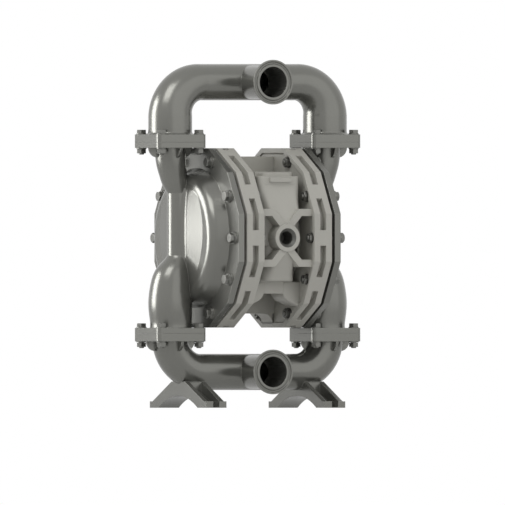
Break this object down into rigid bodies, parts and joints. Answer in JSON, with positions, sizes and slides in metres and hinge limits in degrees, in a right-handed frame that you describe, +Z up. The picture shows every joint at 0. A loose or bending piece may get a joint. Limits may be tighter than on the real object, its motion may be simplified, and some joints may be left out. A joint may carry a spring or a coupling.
{
  "type": "air operated diaphragm pump",
  "caption": "Stainless air operated double diaphragm pump with sanitary ferrule ports, ball check valves, slotted centre section and cast feet.",
  "frame": {"origin": "floor centre below the shaft axis", "axes": "+X along the shaft, -Y is the front with both ports and the air inlet, +Z up"},
  "size_m": [0.26, 0.2028, 0.3932],
  "materials": {
    "cast_stainless": "bead-blasted and electropolished casting",
    "coated_housing": "light warm grey coating, satin",
    "fastener_steel": "dark plain stainless",
    "machined_stainless": "turned",
    "black_rubber": "matt",
    "ptfe_white": "smooth",
    "bearing_plastic": "smooth",
    "valve_aluminium": "satin"
  },
  "bodies": {
    "housing": {"air_chamber_left": "coated_housing", "air_chamber_right": "coated_housing", "air_valve_body": "valve_aluminium", "air_valve_cap_bottom": "valve_aluminium", "air_valve_cap_screws": "fastener_steel", "air_valve_cap_top": "valve_aluminium", "air_valve_gasket": "black_rubber", "air_valve_screws": "fastener_steel", "centre_block": "coated_housing", "centre_gasket_left": "black_rubber", "centre_gasket_right": "black_rubber", "centre_screws_left": "fastener_steel", "centre_screws_right": "fastener_steel", "chamber_bolts_left": "fastener_steel", "chamber_bolts_right": "fastener_steel", "chamber_nuts_left": "fastener_steel", "chamber_nuts_right": "fastener_steel", "chamber_washers_left": "fastener_steel", "chamber_washers_right": "fastener_steel", "diaphragm_left": "black_rubber", "diaphragm_right": "black_rubber", "discharge_bolts": "fastener_steel", "discharge_manifold": "cast_stainless", "discharge_nuts": "fastener_steel", "discharge_seat_left": "machined_stainless", "discharge_seat_right": "machined_stainless", "discharge_washers": "fastener_steel", "inlet_bolts": "fastener_steel", "inlet_manifold": "cast_stainless", "inlet_nuts": "fastener_steel", "inlet_seat_left": "machined_stainless", "inlet_seat_right": "machined_stainless", "inlet_washers": "fastener_steel", "liquid_chamber_left": "cast_stainless", "liquid_chamber_right": "cast_stainless", "pilot_sleeve": "bearing_plastic", "seat_o_rings": "black_rubber", "shaft_bushing_left": "bearing_plastic", "shaft_bushing_right": "bearing_plastic", "shaft_seal_left": "black_rubber", "shaft_seal_right": "black_rubber"},
    "shaft_assembly": {"diaphragm_shaft": "machined_stainless", "inner_piston_left": "machined_stainless", "inner_piston_right": "machined_stainless", "outer_piston_left": "machined_stainless", "outer_piston_right": "machined_stainless"},
    "inlet_ball_left": {"inlet_ball_left": "ptfe_white"},
    "inlet_ball_right": {"inlet_ball_right": "ptfe_white"},
    "discharge_ball_left": {"discharge_ball_left": "ptfe_white"},
    "discharge_ball_right": {"discharge_ball_right": "ptfe_white"},
    "valve_spool": {"air_valve_spool": "machined_stainless"},
    "pilot_pin": {"pilot_spool": "machined_stainless"}
  },
  "joints": [
    {"name": "shaft_stroke", "type": "slide", "parent": "housing", "child": "shaft_assembly", "axis": [1, 0, 0], "range_m": [-0.01, 0.01], "deforming": ["diaphragm_left", "diaphragm_right"]},
    {"name": "inlet_ball_left_lift", "type": "slide", "parent": "housing", "child": "inlet_ball_left", "axis": [0, 0, 1], "range_m": [0, 0.008]},
    {"name": "inlet_ball_right_lift", "type": "slide", "parent": "housing", "child": "inlet_ball_right", "axis": [0, 0, 1], "range_m": [0, 0.008]},
    {"name": "discharge_ball_left_lift", "type": "slide", "parent": "housing", "child": "discharge_ball_left", "axis": [0, 0, 1], "range_m": [0, 0.008]},
    {"name": "discharge_ball_right_lift", "type": "slide", "parent": "housing", "child": "discharge_ball_right", "axis": [0, 0, 1], "range_m": [0, 0.008]},
    {"name": "valve_spool_shift", "type": "slide", "parent": "housing", "child": "valve_spool", "axis": [0, 0, 1], "range_m": [0, 0.006]},
    {"name": "pilot_pin_shift", "type": "slide", "parent": "housing", "child": "pilot_pin", "axis": [1, 0, 0], "range_m": [-0.0025, 0.0025]}
  ]
}
